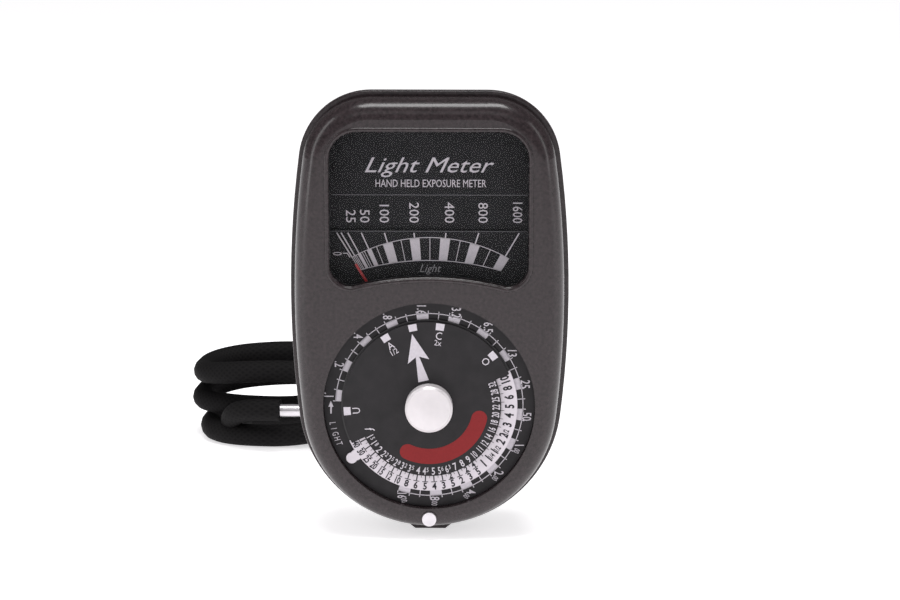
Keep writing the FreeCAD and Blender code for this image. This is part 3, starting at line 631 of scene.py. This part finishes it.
def print_speed_ring(black):
    """The speed ring. A plain label is one over it, = marks whole seconds, + adds a fraction."""
    marks = Print("speed_ring_marks", "speed_ring", "ring_dial", "dial_black", black)
    times = ("40", "30", "25", "20", "15", "12", "10", "8", "6", "5", "4", "3", "2/5", "2", "2/3",
             "4/5", "1=", "1+4", "1+2", "2=", "2+2", "3=", "4=", "5=", "6=", "8=", "10=")
    for index, label in enumerate(times):
        angle = ruled(index)
        turn = angle + 90
        top, _, low = label.partition("/")
        whole, _, half = label.partition("+")
        if label.endswith("="):
            x, z = polar(angle, 17.3)
            marks.text(label.rstrip("="), x, z, 1.9, turn, squeeze=0.72, bold=0.03)
        elif half:
            x, z = polar(angle - 1.6, 17.3)
            marks.text(whole, x, z, 1.9, turn, squeeze=0.66, bold=0.03)
            x, z = polar(angle + 1.1, 17.5)
            marks.text("1/" + half, x, z, 1.2, turn, squeeze=0.6, bold=0.02)
        else:
            low = low or top
            top = top if "/" in label else "1"
            x, z = polar(angle, 16.2)
            marks.text(top, x, z, 1.3, turn, squeeze=0.8, bold=0.035)
            marks.arc(16.96, 17.12, angle - 2.2, angle + 2.2)
            x, z = polar(angle, 18.0)
            marks.text(low, x, z, 1.5, turn, squeeze=0.62 if len(low) > 1 else 0.85, bold=0.03)
        marks.tick((angle + ruled(index + 1)) / 2, 15.4, 16.2, 0.10)
    marks.finish_piece()


def print_scale(white, grey):
    """The scale behind the window: title, ruled band, arc of blocks and the two number rows."""
    marks = Print("scale_marks", "scale_plate", "case", "dial_silver", white)
    marks.text("Light Meter", 0.0, 51.7, 3.3, squeeze=1.22, slant=0.4)
    marks.text("HAND HELD EXPOSURE METER", 0.3, 47.7, 1.65, squeeze=0.72)
    marks.finish_piece()
    edges = Print("band_lines", "scale_plate", "case", "dial_silver", grey)
    for z in (45.15, 37.25):
        edges.line((-21.0, z), (21.0, z), 0.13)
    edges.finish_piece()
    print_scale_arc(white)
    word = Print("scale_word", "scale_plate", "case", "dial_silver",
                 ink("ink_dim", (0.30, 0.29, 0.31)))
    word.text("Light", 0.2, 29.2, 1.7, slant=0.35, squeeze=0.95)
    word.finish_piece()
    print_range_numbers(white)


def rim(angle, low):
    """A point of the scale's upper or lower arc, at an angle left of the vertical from the pivot."""
    radius, crest = (53.0, 26.9) if low else (34.0, 31.9)
    a = math.radians(angle)
    drop = crest - radius
    reach = drop * math.cos(a) + math.sqrt(radius ** 2 - (drop * math.sin(a)) ** 2)
    return -reach * math.sin(a), reach * math.cos(a)


def print_scale_arc(white):
    """The needle's scale: two arcs, a block at each value, and lines up to the numbers."""
    values = (28.1, 24.0, 16.4, 5.8, -6.1, -17.8, -30.3)    # angles left of the vertical
    left_end, right_end, top_of_ticks = 31.2, -32.0, 32.9
    scale = Print("scale_arc", "scale_plate", "case", "dial_silver", white, centre_z=PIVOT_Z)

    def sweep(low, width):
        spots = [rim(left_end - 63.2 * i / 30, low) for i in range(31)]
        above = [(x, z + width / 2) for x, z in spots]
        below = [(x, z - width / 2) for x, z in spots]
        scale.shape(above[::-1] + below)

    def wedge(start, stop):
        outer = [rim(start + (stop - start) * i / 3, False) for i in range(4)]
        inner = [rim(start + (stop - start) * i / 3, True) for i in range(4)]
        scale.shape(outer[::-1] + inner)

    sweep(False, 0.16)
    sweep(True, 0.16)
    for index, angle in enumerate(values):
        half = (0.6, 0.9, 1.9)[min(index, 2)]
        wedge(min(angle + half, left_end), max(angle - half, right_end))
        if 1 < index < len(values) - 1:
            between = (angle + values[index + 1]) / 2
            scale.line(rim(between, True), rim(between, False), 0.14)
    for angle in (left_end, 30.6, 30.0, 29.4, 26.8, 25.9, 20.9):
        scale.line(rim(angle, True), rim(angle, False), 0.13)
    for angle in (left_end, 30.0) + values:
        x, z = rim(angle, False)
        slope = math.tan(math.radians(angle))
        scale.line((x, z), (x - (top_of_ticks - z) * slope, top_of_ticks), 0.26)
    scale.text("0", -19.8, 28.3, 2.0, -90, squeeze=0.60)
    scale.line((-18.6, 28.4), (-17.6, 28.4), 0.2)
    scale.line((-17.7, 28.4), (-17.1, 27.5), 0.2)
    scale.finish_piece()


def print_range_numbers(white):
    """Two rows on the sliding plate. The low row comes into the band when the baffle opens."""
    row_top, row_gap = 34.95, -7.5
    high = ("25", "50", "100", "200", "400", "800", "1600")
    low = ("0", "1.6", "3.2", "6.5", "13", "25", "50")
    places = (-16.9, -13.9, -9.7, -3.3, 4.3, 11.5, 18.9)
    numbers = Print("range_numbers", "range_plate", "range_body", "dial_silver", white,
                    centre_z=PIVOT_Z)
    for row, drop in ((high, 0.0), (low, row_gap)):
        for label, x in zip(row, places):
            narrow = 1.02 if len(label) < 4 else 0.84
            numbers.text(label, x, row_top + drop, 2.1, -90, squeeze=narrow, align="RIGHT")
    numbers.finish_piece()


def print_rear_plate(black):
    """A plain exposure table: ruled lines and generic numbers."""
    half_wide, half_high, cell_high, line = 13.6, 6.4, 3.2, 0.14
    starts, columns = (12, 25, 50, 100), 6
    cell_wide = 27.2 / columns
    centre = middle("rear_plate")[2]
    table = Print("rear_table", "rear_plate", "case", "dial_black", black, centre_z=centre,
                  back=True)
    for row in range(len(starts) + 1):
        z = half_high - cell_high * row
        table.line((-half_wide, z), (half_wide, z), line)
    for column in range(columns + 1):
        x = -half_wide + cell_wide * column
        table.line((x, -half_high), (x, half_high), line)
    for row, start in enumerate(starts):
        for column in range(columns):
            x, z = -11.33 + cell_wide * column, 4.8 - cell_high * row
            table.text(str(start * 2 ** column), x, z, 1.3, squeeze=0.72)
    table.finish_piece()


def window_edge():
    """The window's outline in mm from the dial centre, anticlockwise. Its foot is arched; the top
    corners have the wide radius and the low ones the tight one."""
    half, top, low, arch, wide, tight = 21.2, 59.6, 26.2, 28.3, 6.0, 4.7
    foot = half - tight
    radius = (foot ** 2 + (arch - low) ** 2) / (2 * (arch - low))
    spots = []
    for step in range(21):
        x = -foot + 2 * foot * step / 20
        spots.append((x, arch - radius + math.sqrt(radius ** 2 - x ** 2)))
    corners = ((foot, low + tight, tight, -90), (half - wide, top - wide, wide, 0),
               (wide - half, top - wide, wide, 90), (-foot, low + tight, tight, 180))
    for x, z, size, start in corners:
        for step in range(13):
            a = math.radians(start + 7.5 * step)
            spots.append((x + size * math.cos(a), z + size * math.sin(a)))
    return spots


def add_window_bead(finish):
    """The rounded moulding round the window, which rides on the front case."""
    around, out_centre, out_radius, depth_centre, depth_radius = 12, 0.52, 0.50, 0.10, 0.42
    edge = window_edge()
    spots = [spot for spot, last in zip(edge, [None] + edge) if spot != last]
    mesh = bmesh.new()
    rings = []
    for index, (x, z) in enumerate(spots):
        (ax, az), (bx, bz) = spots[index - 1], spots[(index + 1) % len(spots)]
        length = math.hypot(bx - ax, bz - az)
        nx, nz = (bz - az) / length, (ax - bx) / length
        ring = []
        for step in range(around):
            a = 2 * math.pi * step / around
            out = out_centre + out_radius * math.cos(a)
            depth = depth_centre + depth_radius * math.sin(a)
            ring.append(mesh.verts.new((DIAL_X + (x + nx * out) * MM,
                                        front_of("front_case") + depth * MM,
                                        DIAL_Z + (z + nz * out) * MM)))
        rings.append(ring)
    for index, ring in enumerate(rings):
        after = rings[(index + 1) % len(rings)]
        for step in range(around):
            far = (step + 1) % around
            face = mesh.faces.new((ring[step], ring[far], after[far], after[step]))
            face.smooth = True
    bmesh.ops.recalc_face_normals(mesh, faces=mesh.faces)
    data = bpy.data.meshes.new("window_bead")
    mesh.to_mesh(data)
    mesh.free()
    data.materials.append(finish)
    bead = bpy.data.objects.new("window_bead", data)
    bpy.context.collection.objects.link(bead)
    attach(bead, "case")


# ---- the scene --------------------------------------------------------------------------
def add_floor():
    mesh = bmesh.new()
    bmesh.ops.create_grid(mesh, x_segments=4, y_segments=4, size=3.0)
    data = bpy.data.meshes.new("floor")
    mesh.to_mesh(data)
    mesh.free()
    data.materials.append(floor_white())
    floor = bpy.data.objects.new("floor", data)
    bpy.context.collection.objects.link(floor)


add_camera()
add_cord(braid())
finishes = paint_nodes()
add_studio()
add_floor()
white_ink = ink("ink_white", (0.58, 0.54, 0.59))
grey_ink = ink("ink_grey", (0.13, 0.125, 0.14))
black_ink = ink("ink_black", (0.018, 0.016, 0.022))
red_ink = ink("ink_red", (0.22, 0.012, 0.014))
add_window_bead(finishes["enamel"])
print_light_dial(white_ink)
print_exposure_dial(white_ink, red_ink)
print_speed_ring(black_ink)
print_scale(white_ink, grey_ink)
print_rear_plate(black_ink)
